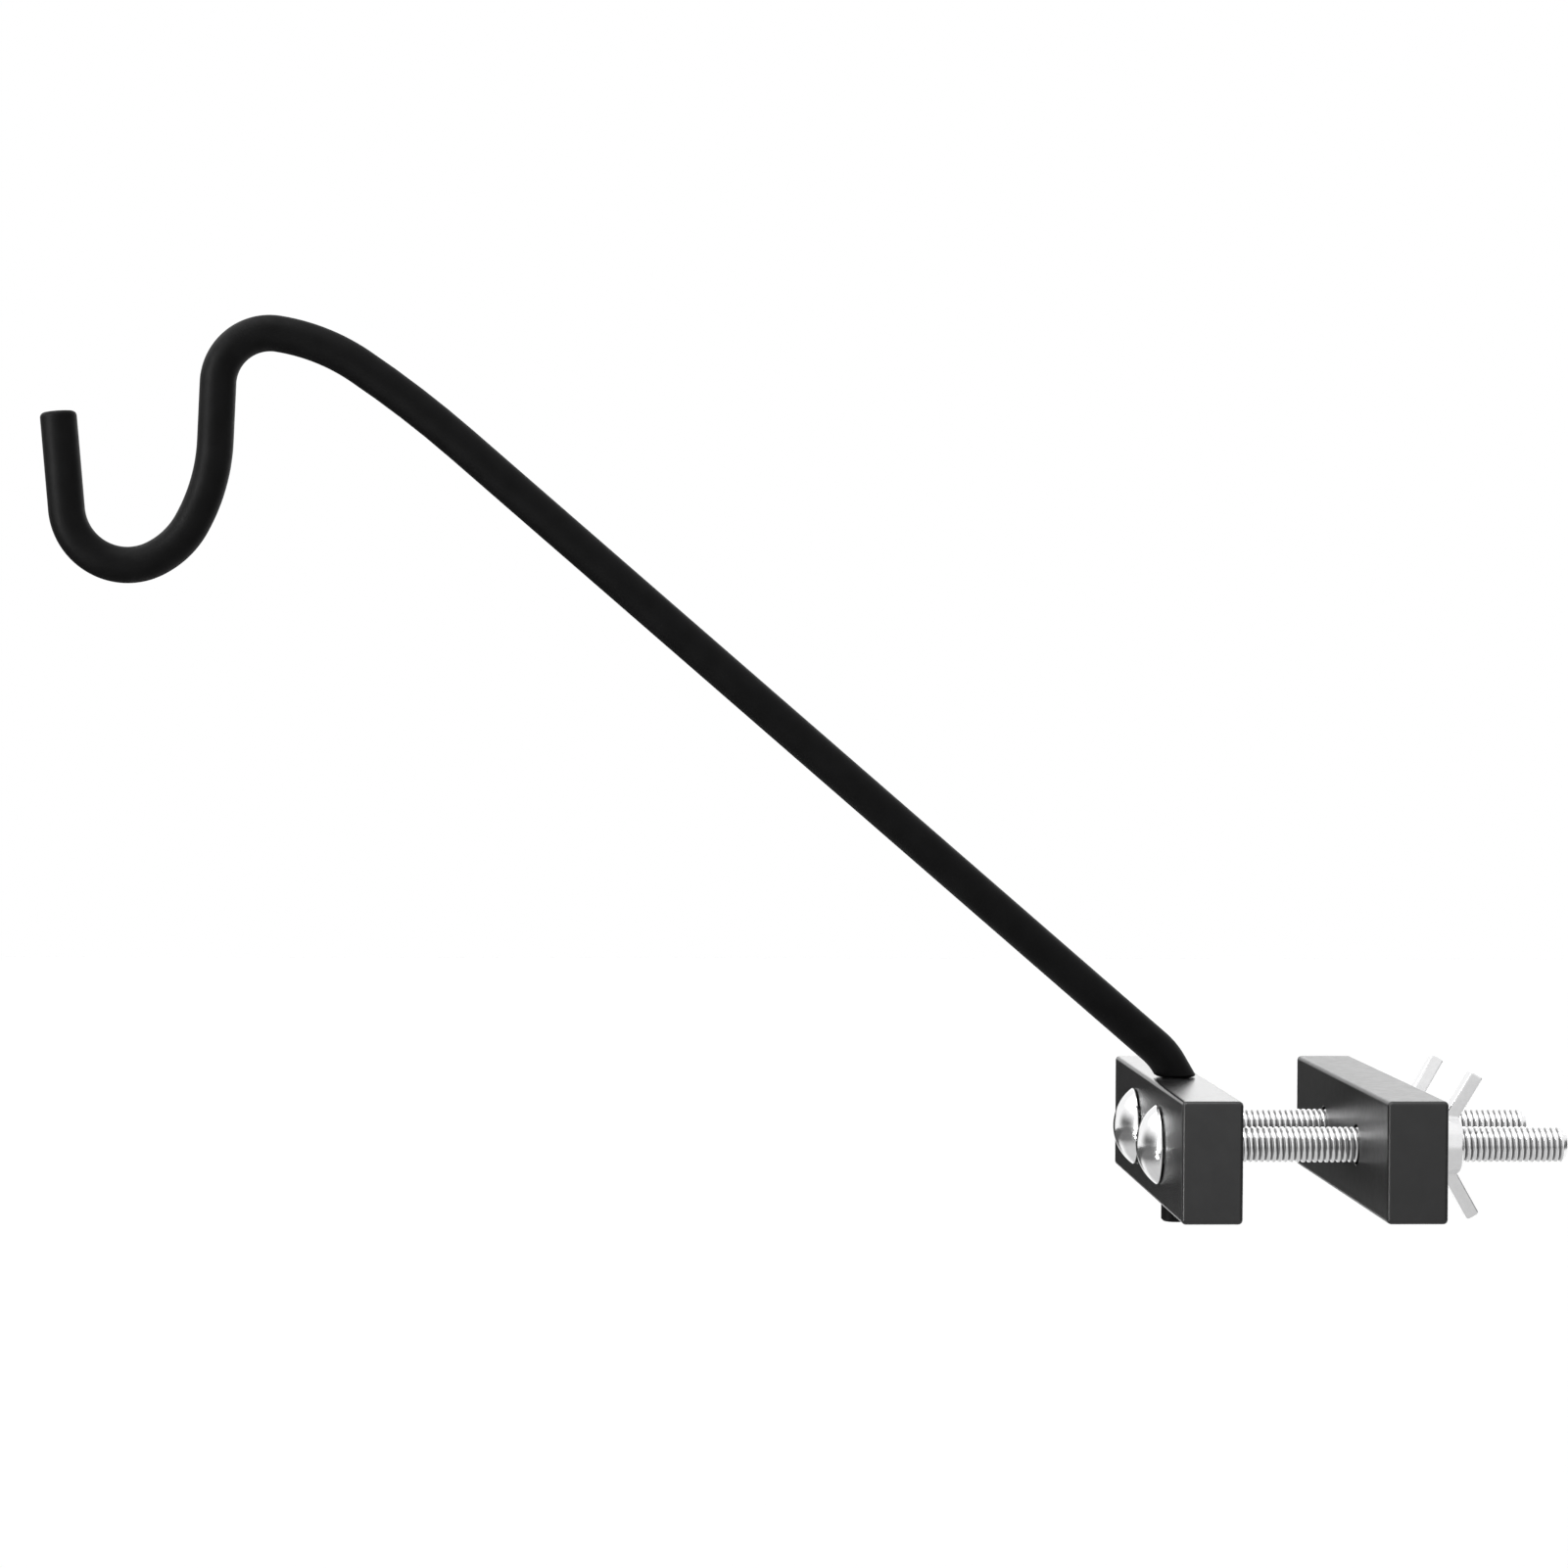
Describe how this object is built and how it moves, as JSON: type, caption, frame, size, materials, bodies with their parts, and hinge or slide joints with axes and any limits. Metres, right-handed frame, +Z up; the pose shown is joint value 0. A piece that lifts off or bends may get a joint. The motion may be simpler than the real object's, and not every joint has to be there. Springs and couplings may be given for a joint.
{
  "type": "deck rail hook",
  "caption": "Cold formed round rod hook that swivels in the front jaw of a two-bar rail clamp drawn together by carriage bolts and wing nuts.",
  "frame": {"origin": "centre of the front jaw's gripping face, midway between the two bolts and on the height of their axes", "axes": "+X along the bolts, from the front jaw to the rear jaw and the wing nuts; Y along the jaws; +Z up, the way the rod leaves the front jaw"},
  "size_m": [0.4101, 0.127, 0.2452],
  "materials": {
    "rod_coat": "satin black coat",
    "jaw_coat": "satin charcoal coat",
    "bright_plate": "bright zinc plate"
  },
  "bodies": {
    "clamp_base": {"front_bar": "jaw_coat", "carriage_bolt_near": "bright_plate", "carriage_bolt_far": "bright_plate"},
    "arm": {"hook_rod": "rod_coat"},
    "jaw": {"rear_bar": "jaw_coat", "washer_near": "bright_plate", "washer_far": "bright_plate"},
    "nut_near": {"wing_nut_near": "bright_plate"},
    "nut_far": {"wing_nut_far": "bright_plate"}
  },
  "joints": [
    {"name": "arm_swivel", "type": "hinge", "parent": "clamp_base", "child": "arm", "pos_m": [-0.00794, 0, 0.01588], "axis": [0, 0, 1], "continuous": true},
    {"name": "jaw_slide", "type": "slide", "parent": "clamp_base", "child": "jaw", "axis": [1, 0, 0], "range_m": [-0.037, 0.0275]},
    {"name": "nut_near_turn", "type": "hinge", "parent": "jaw", "child": "nut_near", "pos_m": [0.0608, -0.02223, 0], "axis": [1, 0, 0], "range_deg": [-8391, 6237]},
    {"name": "nut_far_turn", "type": "hinge", "parent": "jaw", "child": "nut_far", "pos_m": [0.0608, 0.02223, 0], "axis": [1, 0, 0], "range_deg": [-8391, 6237]}
  ],
  "couplings": [
    {"joint": "nut_near_turn", "follows": "jaw_slide", "rad_per_m": 3957.9},
    {"joint": "nut_far_turn", "follows": "jaw_slide", "rad_per_m": 3957.9}
  ]
}
